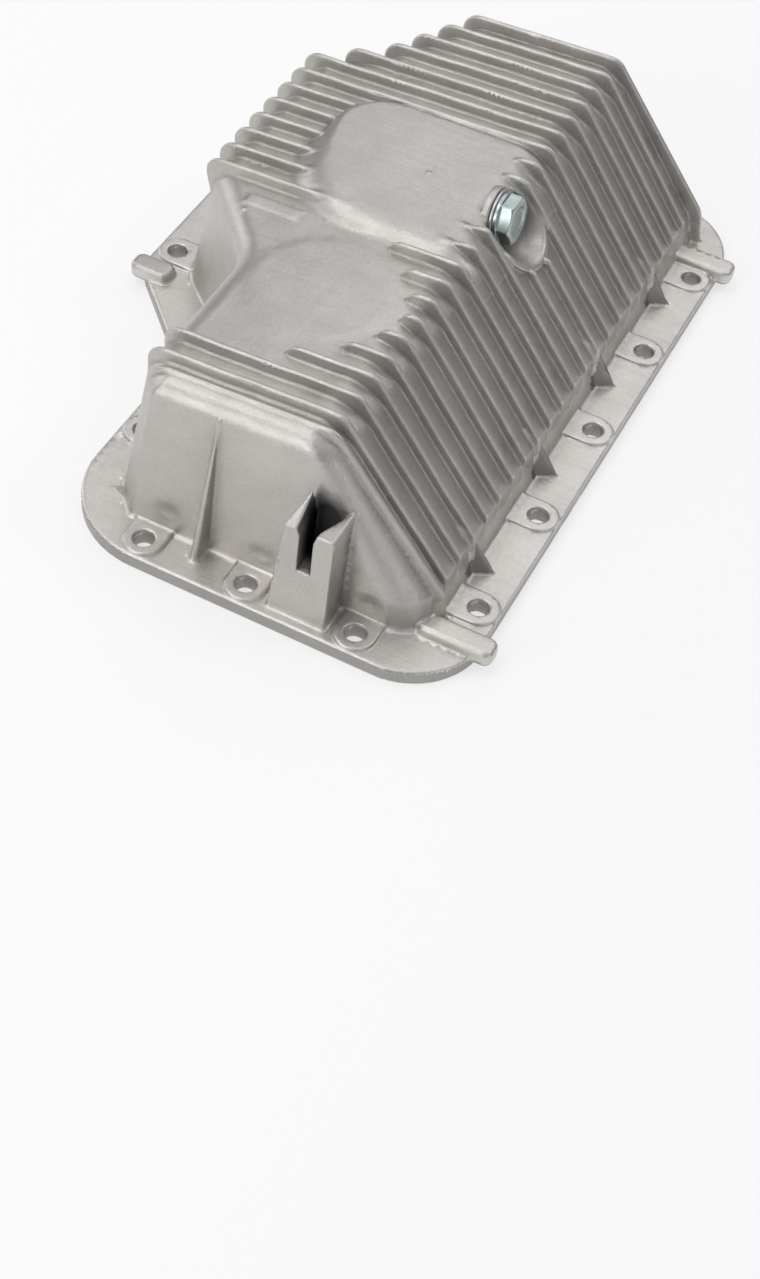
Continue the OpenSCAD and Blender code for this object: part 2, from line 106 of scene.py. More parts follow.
# Drain plug, washer and what the casting has round them. The axis leans up outwards.
PLUG_X = 147
PLUG_Z = SUMP_H - 4.7
PLUG_TILT = math.radians(6)
SEAT_Y = 69
SEAT_R = 12.5
POCKET_R = 14.5
POCKET_FLARE = 0.13
BOSS_R = 10
BOSS_L = 18
BORE_R = 6.2
SHANK_R = 6
SHANK_L = 16
THREAD_PITCH = 1.5
THREAD_DEPTH = 0.9
HEX_AF = 19
HEAD_L = 8
COLLAR_R = 11.25
COLLAR_T = 2
WASHER_R = 12
WASHER_T = 1.5

# Meshing: how far flat parts are merged, and from which size, in squares of the voxel, a face
# is shaded flat where its corners turn away by more than FLAT_TURN, a cosine
CASTING_MERGE = 0.02
FITTING_MERGE = 0.01
FLAT_SIZE = 10
FLAT_TURN = 0.99

# Where the casting is parted into pieces: nearness to the hollow, and height over the gasket face
HOLLOW_SKIN = 1.2
GASKET_SKIN = 0.25

pan_low, pan_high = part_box("pan")
pan_size = (pan_high - pan_low) / METRES
first_hole = pan_low / METRES + Vector((NARROW_MARGIN, STRAIGHT_MARGIN + LUG_REACH, 0))
NEAR_X = -NARROW_MARGIN
FAR_X = pan_size.x - NARROW_MARGIN
WIDE_REACH = pan_size.y - STRAIGHT_MARGIN - LUG_REACH - 2.5
NARROW_REACH = WIDE_REACH - 47.3

# Outlines, anticlockwise, each corner with its radius: the flange, the foot of the outer wall
# and the edge of the sump's floor
FLANGE_CORNERS = [
    (NEAR_X, -STRAIGHT_MARGIN, 34),
    (FAR_X, -STRAIGHT_MARGIN, 37),
    (FAR_X, 150, 22),
    (FAR_X - 50.7, 189, 15),
    (FAR_X - 67.5, WIDE_REACH, 30),
    (110, WIDE_REACH, 20),
    (63, NARROW_REACH, 20),
    (NEAR_X, NARROW_REACH, 43),
]
FOOT_NEAR = NEAR_X + 19.5
FOOT_FAR = FAR_X - 16.7
FOOT_STRAIGHT = 11
FOOT_CORNERS = [
    (FOOT_NEAR, FOOT_STRAIGHT, 19),
    (FOOT_FAR, FOOT_STRAIGHT, 9),
    (FOOT_FAR, 143.5, 16),
    (FOOT_FAR - 44, 173, 8),
    (FOOT_FAR - 60, WIDE_REACH - 20.8, 14),
    (117.5, WIDE_REACH - 20.8, 22),
    (76.5, NARROW_REACH - 19, 24),
    (FOOT_NEAR + 13, NARROW_REACH - 19, 14),
    (FOOT_NEAR, NARROW_REACH - 31, 3),
]
FAR_CORNER_FILL = 13
FLOOR_NEAR = NEAR_X + 27
FLOOR_FAR = FAR_X - 19.3
FLOOR_CORNERS = [
    (FLOOR_NEAR, KNEE_Y, 11),
    (FLOOR_FAR, KNEE_Y, 6),
    (FLOOR_FAR, 138, 12),
    (FLOOR_FAR - 53, 167, 8),
    (FLOOR_FAR - 62, WIDE_REACH - 36.8, 8),
    (112, WIDE_REACH - 36.8, 18),
    (66, NARROW_REACH - 28.5, 24),
    (FLOOR_NEAR + 13, NARROW_REACH - 28.5, 12),
    (FLOOR_NEAR, NARROW_REACH - 38, 3),
]

# The straight side's short wall and slope
BEND_Y = KNEE_Y - (SUMP_H - BEND_H) / math.tan(SLOPE)
SLOPE_WALL = WALL_T / math.sin(SLOPE)


def floor_z(y):
    """Height of the sump's floor, which falls away from the knee."""
    return SUMP_H - np.maximum(0, y - KNEE_Y) * math.tan(FLOOR_FALL)


def slope_y(z):
    return BEND_Y + (z - BEND_H) / math.tan(SLOPE)


def slope_z(y):
    return BEND_H + (y - BEND_Y) * math.tan(SLOPE)


def over_slope(y, z):
    """Distance out from the plane of the slope."""
    return -(y - BEND_Y) * math.sin(SLOPE) + (z - BEND_H) * math.cos(SLOPE)


def short_wall_y(z):
    return FOOT_STRAIGHT + (BEND_Y - FOOT_STRAIGHT) * (z - FLANGE_T) / (BEND_H - FLANGE_T)


def outer_side_y(z):
    return short_wall_y(z) if z < BEND_H else slope_y(z)


def inner_side_y(z):
    return max(short_wall_y(z), slope_y(z) + SLOPE_WALL - WALL_T)


# Fin crests: a line above the slope, then one that falls across the floor
CREST_TOP = SUMP_H + TOP_FIN_H
CREST_SHIFT = SLOPE_FIN_H / math.sin(SLOPE)
CREST_KNEE_Y = KNEE_Y - CREST_SHIFT + TOP_FIN_H / math.tan(SLOPE)


def crest_slope_z(y):
    return slope_z(y + CREST_SHIFT)


def crest_z(y):
    return CREST_TOP - (y - CREST_KNEE_Y) * math.tan(FLOOR_FALL)


# Fin places: lower ends, stops beside the pads and starts behind the sump pad
FIRST_FIN_X = FLOOR_NEAR + 14.9
NEAR_BAND_X = FIRST_FIN_X - 5.9
FAR_BAND_X = FIRST_FIN_X + FIN_COUNT * FIN_PITCH
FIN_FOOT = (13.2, 15)
FIN_STOPS = [103, 85, 76.5, 72.5, 76, 84.5, 97]
PAD_STOP = 76.5
FIN_STARTS = [124, 142, 153.5, 158.5, 160, 156.5]
FIN_END_Z = 63
FIN_END_R = 9
POCKET_FIN_Y = 44.5

# The sump pad's outline, the bolts with the way and the length of their pads, and the lugs with
# their length and width
SUMP_PAD_CORNERS = [
    (103, 40, 5),
    (190, 40, 5),
    (187, 157, 24),
    (103, 157, 44),
]
BOLTS = [(i * BOLT_PITCH, 0, 90, 13) for i in range(5)] + [
    (FAR_X - 9, 33.7, 180, 11),
    (FAR_X - 9, 99.7, 180, 11),
    (FAR_X - 24.8, 161.6, 210, 11),
    (FAR_X - 62.5, 189.7, 200, 11),
    (187, WIDE_REACH - 10.3, 270, 12),
    (126, WIDE_REACH - 10.3, 270, 12),
    (77.2, NARROW_REACH - 1.8, 300, 12),
    (16.7, NARROW_REACH - 10.4, 270, 11),
    (NEAR_X + 10.2, 136.1, 0, 12),
    (NEAR_X + 10.2, 87.9, 0, 12),
    (NEAR_X + 10.2, 37.5, 0, 12),
]
LUGS = [
    (108, WIDE_REACH - 18, 20.5, 11),
    (-19.5, -STRAIGHT_MARGIN - LUG_REACH, 34, 11),
    (253, -STRAIGHT_MARGIN - LUG_REACH, 31, 11.5),
]


def corner_arc(p, q, r, steps):
    """Points of the arc that rounds corner q, which holds its radius, between p and r."""
    here = np.array(q[:2], float)
    a = np.array(p[:2], float) - here
    b = np.array(r[:2], float) - here
    room = 0.48 * min(np.linalg.norm(a), np.linalg.norm(b))
    a /= np.linalg.norm(a)
    b /= np.linalg.norm(b)
    half = math.acos(max(-1, min(1, a @ b))) / 2
    radius = min(q[2], room * math.tan(half))
    centre = here + (a + b) / np.linalg.norm(a + b) * radius / math.sin(half)
    start = here + a * radius / math.tan(half) - centre
    sweep = (math.pi - 2 * half) * (1 if a[0] * b[1] - a[1] * b[0] < 0 else -1)
    turns = [sweep * i / steps for i in range(steps + 1)]
    return [centre + (start[0] * math.cos(t) - start[1] * math.sin(t),
                      start[0] * math.sin(t) + start[1] * math.cos(t)) for t in turns]


def rounded(corners, steps=10):
    """A closed outline with its corners rounded."""
    n = len(corners)
    return np.array([p for i in range(n)
                     for p in corner_arc(corners[i - 1], corners[i], corners[(i + 1) % n], steps)])


def inset(corners, d):
    """A closed outline moved inwards by d, with its radii to suit."""
    moved = []
    n = len(corners)
    for i, q in enumerate(corners):
        p = np.array(corners[i - 1][:2], float)
        here = np.array(q[:2], float)
        r = np.array(corners[(i + 1) % n][:2], float)
        a = (here - p) / np.linalg.norm(here - p)
        b = (r - here) / np.linalg.norm(r - here)
        n1 = np.array((-a[1], a[0]))
        n2 = np.array((-b[1], b[0]))
        place = here + d * (n1 + n2) / (1 + n1 @ n2)
        side = -1 if a[0] * b[1] - a[1] * b[0] > 0 else 1
        moved.append((place[0], place[1], max(1, q[2] + side * d)))
    return moved


def outline_distance(points, u, v):
    """Signed distance from a closed outline in the plane of u and v, negative inside."""
    u, v = np.broadcast_arrays(np.asarray(u, np.float32), np.asarray(v, np.float32))
    best = np.full(u.shape, 1e9, np.float32)
    inside = np.zeros(u.shape, bool)
    for p, q in zip(points, np.roll(points, -1, axis=0)):
        e = q - p
        length = float(e @ e)
        if length < 1e-9:
            continue
        du = u - np.float32(p[0])
        dv = v - np.float32(p[1])
        t = np.clip((du * np.float32(e[0]) + dv * np.float32(e[1])) / np.float32(length), 0, 1)
        away = (du - t * np.float32(e[0])) ** 2 + (dv - t * np.float32(e[1])) ** 2
        np.minimum(best, away, out=best)
        if abs(e[1]) > 1e-9:
            crossing = ((v < p[1]) != (v < q[1])) & (du < dv * np.float32(e[0] / e[1]))
            inside ^= crossing
    return np.where(inside, -1, 1) * np.sqrt(best)


def join(a, b, r):
    """Union of two distance fields with a round fillet of radius r."""
    return np.maximum(r, np.minimum(a, b)) - np.hypot(np.maximum(r - a, 0), np.maximum(r - b, 0))


def meet(a, b, r):
    """Intersection of two distance fields with a round edge of radius r."""
    return -join(-a, -b, r)


class Grid:
    """A box of voxels that holds one field of distances, with Z as its first axis."""

    def __init__(self, low, high, voxel):
        self.voxel = voxel
        self.low = np.array(low, float)
        count = np.ceil((np.array(high) - self.low) / voxel).astype(int) + 1
        axes = [(self.low[i] + np.arange(count[i]) * voxel).astype(np.float32) for i in range(3)]
        self.x = axes[0][None, None, :]
        self.y = axes[1][None, :, None]
        self.z = axes[2][:, None, None]
        self.count = count
        self.field = np.full(count[::-1], 50, np.float32)

    def window(self, low, high):
        """Slices of the field inside a box, and the coordinates there."""
        first = np.maximum(np.floor((np.array(low) - self.low) / self.voxel).astype(int), 0)
        last = np.ceil((np.array(high) - self.low) / self.voxel).astype(int) + 1
        last = np.minimum(last, self.count)
        sx, sy, sz = (slice(a, b) for a, b in zip(first, last))
        return (sz, sy, sx), self.x[:, :, sx], self.y[:, sy, :], self.z[sz, :, :]

    def add(self, low, high, shape, fillet=0.7):
        where, x, y, z = self.window(low, high)
        self.field[where] = join(self.field[where], shape(x, y, z), np.float32(fillet))

    def cut(self, low, high, shape, edge=0.7):
        where, x, y, z = self.window(low, high)
        self.field[where] = meet(self.field[where], -shape(x, y, z), np.float32(edge))


class Walls:
    """Distance from a wall whose outline changes along straight lines between its heights."""

    def __init__(self, grid, outlines, heights):
        x = grid.x[0, :, ::2]
        y = grid.y[0, ::2, :]
        coarse = [outline_distance(points, x, y) for points in outlines]
        self.heights = heights
        self.levels = [self.finer(level, grid.count[1], grid.count[0]) for level in coarse]

    @staticmethod
    def finer(level, rows, columns):
        """The same field on a grid twice as fine."""
        for axis, count in ((0, rows), (1, columns)):
            level = np.moveaxis(level, axis, 0)
            full = np.empty((count,) + level.shape[1:], np.float32)
            full[::2] = level
            between = (level[:-1] + level[1:]) / 2
            full[1::2][:len(between)] = between
            if count % 2 == 0:
                full[-1] = level[-1] + (level[-1] - level[-2]) / 2
            level = np.moveaxis(full, 0, axis)
        return level

    def slice(self, z):
        """Distance from the wall at one height, measured square to the wall."""
        k = int(np.clip(np.searchsorted(self.heights, z) - 1, 0, len(self.heights) - 2))
        below = self.levels[k]
        above = self.levels[k + 1]
        lean = (above - below) / (self.heights[k + 1] - self.heights[k])
        return (below + lean * (z - self.heights[k])) / np.sqrt(1 + lean * lean)


def wall_corners(z, side_y, fill=0):
    """Corners of the outer wall at a height, with the straight side at side_y, and with more
    radius at the foot of the far corner if asked for."""
    corners = []
    for i, (p, q) in enumerate(zip(FOOT_CORNERS, FLOOR_CORNERS)):
        t = (z - FLANGE_T) / (floor_z(q[1]) - FLANGE_T)
        x, y, r = (a + (b - a) * t for a, b in zip(p, q))
        corners.append((x, side_y, r + i * fill * max(0, 1 - t)) if i < 2 else (x, y, r))
    return corners


# Heights of the outlines, which stand close along the slope, since its corners are round
SLOPE_HEIGHTS = list(range(22, 80, 3))
ABOVE_SUMP = 95
OUTER_HEIGHTS = [0, FLANGE_T, BEND_H] + SLOPE_HEIGHTS + [SUMP_H, ABOVE_SUMP]
INNER_HEIGHTS = [-2, 0, WALL_T, BEND_H - 2.4] + SLOPE_HEIGHTS + [SUMP_H, ABOVE_SUMP]


def draw_walls(grid):
    """The sump's outer walls and floor, on the flange."""
    outlines = [rounded(wall_corners(z, outer_side_y(z))) for z in OUTER_HEIGHTS]
    walls = Walls(grid, outlines, OUTER_HEIGHTS)
    flange = outline_distance(rounded(FLANGE_CORNERS, 12), grid.x[0], grid.y[0])
    level = floor_z(grid.y[0])
    for k, z in enumerate(grid.z.ravel()):
        sump = meet(walls.slice(z), (z - level) * math.cos(FLOOR_FALL), EDGE_R)
        rim = meet(meet(flange, z - FLANGE_T, FLANGE_TOP_R), -z, FLANGE_FACE_R)
        grid.field[k] = join(sump, rim, FOOT_FILLET)


def draw_cavity(grid):
    """The hollow inside, as a field of its own."""
    outlines = []
    for z in INNER_HEIGHTS:
        corners = inset(wall_corners(z, inner_side_y(z), FAR_CORNER_FILL), WALL_T)
        outlines.append(rounded(corners))
    walls = Walls(grid, outlines, INNER_HEIGHTS)
    recess_edge = rounded(inset(SUMP_PAD_CORNERS, WALL_T + 1))
    recess = outline_distance(recess_edge, grid.x[0], grid.y[0])
    hollow = np.empty_like(grid.field)
    level = floor_z(grid.y[0]) - WALL_T
    recess_top = SUMP_H - WALL_T + RECESS_H
    for k, z in enumerate(grid.z.ravel()):
        room = meet(walls.slice(z), (z - level) * math.cos(FLOOR_FALL), INNER_EDGE_R)
        inner_slope = over_slope(grid.y[0], z) + WALL_T
        deep = meet(meet(recess, z - recess_top, 1.5), inner_slope, 1.5)
        hollow[k] = join(room, deep, 1.2)
    return hollow


def fin_profile(u, s, crest_r=CREST_R, draft=FIN_DRAFT):
    """Distance from a drafted blade: u across it, and s the distance past its crest line."""
    down = s + crest_r
    along = down * math.cos(draft) - u * math.sin(draft)
    side = u * math.cos(draft) + down * math.sin(draft) - crest_r
    return np.where(along > 0, np.hypot(u, down) - crest_r, side)


def path(corners):
    """An open path with its inner corners rounded."""
    points = [np.array(corners[0][:2], float)]
    for p, q, r in zip(corners, corners[1:], corners[2:]):
        points += corner_arc(p, q, r, 6)
    return points + [np.array(corners[-1][:2], float)]


def far_edge_y(corners, x):
    """Place across the pan of an outline's notched side."""
    side = sorted((p[0], p[1]) for p in corners[2:])
    return float(np.interp(x, [p[0] for p in side], [p[1] for p in side]))


def far_wall_y(x, z):
    foot = far_edge_y(FOOT_CORNERS, x)
    edge = far_edge_y(FLOOR_CORNERS, x)
    return foot + (edge - foot) * (z - FLANGE_T) / (floor_z(edge) - FLANGE_T)


def crest_over(x, drop=0):
    """The end of a crest that rounds down over the far wall."""
    overhang = 6 if x > ROUND_PAD[0] else 2
    y = far_edge_y(FLOOR_CORNERS, x) + overhang - drop
    return [(y, crest_z(y) - drop, FIN_END_R), (far_wall_y(x, FIN_END_Z) - 0.5, FIN_END_Z, 0)]


def crest_taper(y):
    """An end that sinks slowly into the pad."""
    return [(y - 10, crest_z(y - 10), 6), (y + 2, SUMP_H + SUMP_PAD_H - 0.8, 0)]


def crest_stop(y):
    return [(y, crest_z(y), 6), (y + 1.5, floor_z(y) - 5, 0)]


def crest_start(y):
    return [(y - 9, floor_z(y) - 5, 0), (y - 3, crest_z(y - 3), 3.5)]


CREST_FOOT = [FIN_FOOT + (0,), (FIN_FOOT[0], crest_slope_z(FIN_FOOT[0]), 3.5)]
CREST_KNEE = [(CREST_KNEE_Y, CREST_TOP, 8)]


def draw_fin(grid, x_k, crest, wave=FIN_WAVE):
    """One fin, with its crest line in the YZ plane, closed far inside the wall. Only an end that
    comes down over the far wall is closed further in. Elsewhere that line would leave the wall."""
    line = path(crest)
    (first_y, first_z), (last_y, last_z) = line[0], line[-1]
    ys = [p[0] for p in line]
    low = (x_k - FIN_REACH, min(ys) - 5, min(first_z, last_z) - 4)
    high = (x_k + FIN_REACH, max(ys) + 5, CREST_TOP + 3)
    over_wall = last_z <= FIN_END_Z and last_y > KNEE_Y
    back = last_y - (12 if over_wall else 0)
    deep = [(back, last_z), (back, 50), (first_y + 16, 30), (first_y + 16, first_z)]
    closed = np.array([tuple(p) for p in line] + deep)
    where, x, y, z = grid.window(low, high)
    s = outline_distance(closed, y[:, :, 0], z[:, :, 0])[:, :, None]
    sway = wave * (np.sin(y / 11 + x_k) + np.sin(y / 4.3 + 2.7 * x_k) / 2)
    blade = fin_profile(np.abs(x - x_k - sway), s)
    grid.field[where] = join(grid.field[where], blade.astype(np.float32), np.float32(FIN_FILLET))


def draw_fins(grid):
    """The fins from the near end to the far end, each with its own upper end, those that start
    again behind the sump pad, and the bands at both ends."""
    for i in range(FIN_COUNT):
        x = FIRST_FIN_X + i * FIN_PITCH
        if i in (11, 12):
            y = POCKET_FIN_Y + 1.5 * (12 - i)
            end = [(y, crest_slope_z(y), 4), (y + 4, slope_z(y + 4) - 3, 0)]
        elif i in (9, 10):
            end = CREST_KNEE + crest_taper(80 - 2 * (i - 9))
        elif 1 < i < 15:
            end = CREST_KNEE + crest_stop(FIN_STOPS[i - 2] if i < 9 else PAD_STOP)
        else:
            end = CREST_KNEE + crest_over(x)
        draw_fin(grid, x, CREST_FOOT + end)
        if 8 < i < 15:
            draw_fin(grid, x, crest_start(FIN_STARTS[i - 9]) + crest_over(x))
    foot = [(6.4, FLANGE_T - 1, 0), (8.9, 24, 14)]
    draw_fin(grid, FAR_BAND_X, foot + CREST_KNEE + crest_over(FAR_BAND_X), wave=0)
    drop = TOP_FIN_H - NEAR_BAND_H
    knee_y = KNEE_Y - NEAR_BAND_H / math.sin(SLOPE) + NEAR_BAND_H / math.tan(SLOPE)
    foot = [(8.4, FLANGE_T - 1, 0), (11.2, 22, 12), (knee_y, SUMP_H + NEAR_BAND_H, 9)]
    draw_fin(grid, NEAR_BAND_X, foot + crest_over(NEAR_BAND_X, drop), wave=0)


def plane_through(p, q, r, inside):
    """A function of distance from the plane through three points, negative towards inside."""
    p, q, r, inside = (np.array(v, float) for v in (p, q, r, inside))
    normal = np.cross(q - p, r - p)
    normal /= np.linalg.norm(normal)
    if normal @ (inside - p) > 0:
        normal = -normal
    return lambda x, y, z: ((x - p[0]) * normal[0] + (y - p[1]) * normal[1]
                            + (z - p[2]) * normal[2])


def draw_wedge(grid, foot, top, edge, fillet):
    """A tapering web: foot and top are each two points on the wall and one on the ridge."""
    points = np.array(foot + top)
    middle = np.mean(points, axis=0)
    left, right = (plane_through(foot[i], foot[2], top[2], middle) for i in (0, 1))
    lid = plane_through(top[0], top[1], top[2], middle)

    def shape(x, y, z):
        return meet(meet(left(x, y, z), right(x, y, z), edge), lid(x, y, z), edge)

    grid.add(points.min(0) - 6, points.max(0) + 6, shape, fillet)


def draw_gussets(grid):
    """Webs that carry every fifth fin down to the flange, and one at the near corner."""
    for i in range(2, 18, 5):
        x = FIRST_FIN_X + i * FIN_PITCH
        draw_wedge(grid, [(x + 2.6, 13, 6), (x - 6, 13, 6), (x + 1, 0.8, 6)],
                   [(x + 0.8, 17, 27), (x - 1.4, 17, 27), (x + 0.3, 13.4, 25)], 0.4, 0.5)
    y = 157
    draw_wedge(grid, [(-16, y, 6), (-21, y, 6), (-18.5, y + 7, 6)],
               [(-18, y, 11), (-19, y, 11), (-18.5, y + 2, 11)], 0.3, 0.8)


def draw_rib(grid):
    """The upright rib of the near wall, blunt at its foot and sharper as it rises."""
    foot = np.array((-37.7, FLANGE_T))
    run = np.array((-22.5, 71)) - foot
    run /= np.linalg.norm(run)

    def shape(x, y, z):
        rise = np.clip((z - FLANGE_T) / 63, 0, 1)
        s = (z - foot[1]) * run[0] - (x - foot[0]) * run[1]
        return fin_profile(np.abs(y - 113.4 + 2 * rise), s, 1.9 - 1.5 * rise, FIN_DRAFT)

    grid.add((-44, 100, 4), (-12, 124, 76), shape, 1.2)


def cut_dents(grid):
    """Clearance for the tool over each bolt of the near wall."""
    for y0, z0 in ((130.5, 19), (87.2, 18), (37, 16.5)):
        def shape(x, y, z):
            return np.sqrt((x + 33) ** 2 + ((y - y0) / 1.3) ** 2 + (z - z0) ** 2) - 6.6

        grid.cut((-40, y0 - 10, z0 - 8), (-18, y0 + 10, z0 + 8), shape, 1.2)


def draw_round_pad(grid):
    """A disc whose edge falls away softly."""
    def shape(x, y, z):
        disc = np.hypot(x - ROUND_PAD[0], y - ROUND_PAD[1]) - ROUND_PAD_R
        over = z - floor_z(y)
        return meet(disc * 0.35 + over * 0.94, over - ROUND_PAD_H, 0.8)

    x, y = ROUND_PAD
    grid.add((x - 36, y - 36, 74), (x + 36, y + 36, 88), shape, 0.6)


def draw_sump_pad(grid):
    """The pad beside the plug. Its side is a soft ramp at the near end and steep at the far end."""
    top = SUMP_H + SUMP_PAD_H
    points = rounded(SUMP_PAD_CORNERS)

    def shape(x, y, z):
        ramp = np.clip((170 - x) / 30, 0, 1)
        draft = math.radians(14) + ramp * math.radians(36)
        side = outline_distance(points, x[0], y[0])[None]
        side = side * np.cos(draft) + (z - top + 4 * ramp) * np.sin(draft)
        return meet(meet(side, z - top, 3.5), over_slope(y, z), 10)

    grid.add((92, 45, 70), (199, 168, 92), shape, 1.6)


def draw_low_ridge(grid):
    """A flat low ridge beside the pad, which ends in a notch, and small cast marks."""
    def ridge(x, y, z):
        side = np.maximum(np.abs(x - 99 - (y - 141) * 0.02) - 3.2, np.abs(y - 154) - 13)
        return meet(side + 0 * z, z - floor_z(y) - 0.6, 2)

    def notch(x, y, z):
        return np.maximum(np.maximum(np.abs(x - 97.6) - 4, np.abs(y - 140.2) - 0.9), 80.6 - z)

    grid.add((90, 136, 74), (108, 172, 86), ridge, 2)
    grid.cut((90, 136, 78), (108, 144, 88), notch, 0.4)
    for x0, y0 in ((87.2, 117.2), (92, 164.2), (148, 104)):
        z0 = float(floor_z(y0)) if x0 < 100 else SUMP_H + SUMP_PAD_H

        def bead(x, y, z):
            return np.sqrt((x - x0) ** 2 + (y - y0) ** 2 + (z - z0 + 0.3) ** 2) - 0.9

        grid.add((x0 - 3, y0 - 3, z0 - 3), (x0 + 3, y0 + 3, z0 + 3), bead, 0.5)


def draw_bolt_pads(grid):
    for x0, y0, angle, run in BOLTS:
        a = math.radians(angle)
        along = np.array((math.cos(a), math.sin(a)))

        def shape(x, y, z):
            t = np.clip((x - x0) * along[0] + (y - y0) * along[1], 0, run)
            slot = np.hypot(x - x0 - t * along[0], y - y0 - t * along[1]) - PAD_R
            return meet(meet(slot, z - FLANGE_T - PAD_H, 0.6), 3 - z, 0.6)

        reach = run + PAD_R + 3
        grid.add((x0 - reach, y0 - reach, 4), (x0 + reach, y0 + reach, 10), shape, 0.6)


def cut_bolt_holes(grid):
    for x0, y0, _, _ in BOLTS:
        grid.cut((x0 - 8, y0 - 8, -3), (x0 + 8, y0 + 8, 11),
                 lambda x, y, z: np.hypot(x - x0, y - y0) - HOLE_R + 0 * z, 0.7)


def draw_lugs(grid):
    for x0, y0, length, width in LUGS:
        def shape(x, y, z):
            side = np.maximum(np.abs(x - x0) - width / 2 + 4, 0)
            end = np.maximum(np.abs(y - y0 - length / 2) - length / 2 + 4, 0)
            rise = np.maximum(np.abs(z - 8) - 4 + 2.4, 0)
            return np.hypot(np.maximum(np.hypot(side, end) - 4 + 2.4, 0), rise) - 2.4

        grid.add((x0 - 12, y0 - 6, 0), (x0 + 12, y0 + length + 6, 17), shape, 1.2)


def bracket_slot(x, y, z):
    """The bracket's slot, which widens behind its front towards the wall."""
    behind = np.maximum(x - BRACKET_X - 2, 0)
    open_top = np.clip((z - 52.5) / 4, 0, 1) * 1.3
    low_side = SLOT_Y - SLOT_W / 2 - open_top - behind * 0.4 - y
    high_side = y - SLOT_Y - SLOT_W / 2 - open_top - behind * 0.08
    return np.maximum(np.maximum(low_side, high_side), SLOT_Z - z)


def draw_bracket(grid):
    """The slotted bracket on the near wall. The top of its far arm rises to the wall."""
    side = np.array([(BRACKET_X - 3.2, 4), (-10, 4), (-10, 80), (BRACKET_X, 80)], float)
    face = np.array([(49.3, 4), (76.3, 4), (71, 57), (68.6, 80), (51, 80), (49.3, 57)], float)

    def shape(x, y, z):
        a = outline_distance(side, x[:, 0, :], z[:, 0, :])[:, None, :]
        b = outline_distance(face, y[:, :, 0], z[:, :, 0])[:, :, None]
        behind = np.maximum(x - BRACKET_X, 0)
        far = y > SLOT_Y
        b = b + far * behind * np.clip(z / 57, 0, 1) * 0.25
        top = (z - 57 - far * behind * 0.56) * 0.87
        return meet(meet(meet(a, b, 0.8), top, 0.6), -bracket_slot(x, y, z), 0.5)

    grid.add((-47, 44, 3), (-14, 82, 71), shape, 1)


def round_plug(x, y, z):
    """Distance from the plug's axis, and the way from the seat outwards."""
    along = (SEAT_Y - y) * math.cos(PLUG_TILT) + (z - PLUG_Z) * math.sin(PLUG_TILT)
    rise = (z - PLUG_Z) * math.cos(PLUG_TILT) - (SEAT_Y - y) * math.sin(PLUG_TILT)
    return np.hypot(x - PLUG_X, rise), along


def pocket_side(out, along, wall=0):
    """Distance from the pocket's cone, grown by a wall."""
    return (out - POCKET_R - wall - (along + wall) * POCKET_FLARE) * 0.96


def draw_seat(grid):
    """The washer's seat, and the lip that the pocket has where it leaves the slope."""
    def seat(x, y, z):
        out, along = round_plug(x, y, z)
        return meet(meet(out - SEAT_R, along, 0.5), -along - WALL_T, 0.5)

    def lip(x, y, z):
        out, along = round_plug(x, y, z)
        slope = over_slope(y, z)
        shell = meet(pocket_side(out, along, 2.4), -pocket_side(out, along, -1), 0.5)
        return meet(meet(meet(shell, slope - 2.2, 1.2), -slope - 6, 0.5), z - 76, 3)

    grid.add((PLUG_X - 34, 24, 44), (PLUG_X + 34, SEAT_Y + 4, 90), lip, 1.5)
    grid.add((PLUG_X - 16, SEAT_Y - 4, 60), (PLUG_X + 16, SEAT_Y + 8, 93), seat, 1)


def draw_dome(grid, hollow):
    """The wall behind the pocket and its boss, which stand in the hollow."""
    def cone(x, y, z):
        out, along = round_plug(x, y, z)
        dome = np.maximum(pocket_side(out, along, WALL_T), -along - WALL_T)
        boss = np.maximum(out - BOSS_R, -along - WALL_T - BOSS_L)
        return join(dome, boss, 2.5)

    low = (PLUG_X - 34, 30, 50)
    high = (PLUG_X + 34, SEAT_Y + BOSS_L + 10, 92)
    where, x, y, z = grid.window(low, high)
    hollow[where] = meet(hollow[where], -cone(x, y, z).astype(np.float32), np.float32(1.5))


def draw_posts(grid, hollow):
    """Stepped posts that hang from the floor into the hollow."""
    for x0, y0 in POSTS:
        root = float(floor_z(y0)) - WALL_T

        def shape(x, y, z):
            out = np.hypot(x - x0, y - y0)
            steps = [meet(out - radius, root - length - z, 0.5) for radius, length in POST_STEPS]
            return join(steps[0], steps[1], 0.5)

        where, x, y, z = grid.window((x0 - 9, y0 - 9, root - 21), (x0 + 9, y0 + 9, root + 3))
        hollow[where] = meet(hollow[where], -shape(x, y, z).astype(np.float32), np.float32(1))


def cut_pocket(grid):
    def pocket(x, y, z):
        out, along = round_plug(x, y, z)
        return np.maximum(pocket_side(out, along), -along)

    def bore(x, y, z):
        out, along = round_plug(x, y, z)
        return out - BORE_R + 0 * along

    end = SEAT_Y + WALL_T + BOSS_L + 4
    grid.cut((PLUG_X - 28, 24, 44), (PLUG_X + 28, SEAT_Y + 3, 93), pocket, 1)
    grid.cut((PLUG_X - 10, SEAT_Y - 6, 62), (PLUG_X + 10, end, 91), bore, 0.6)


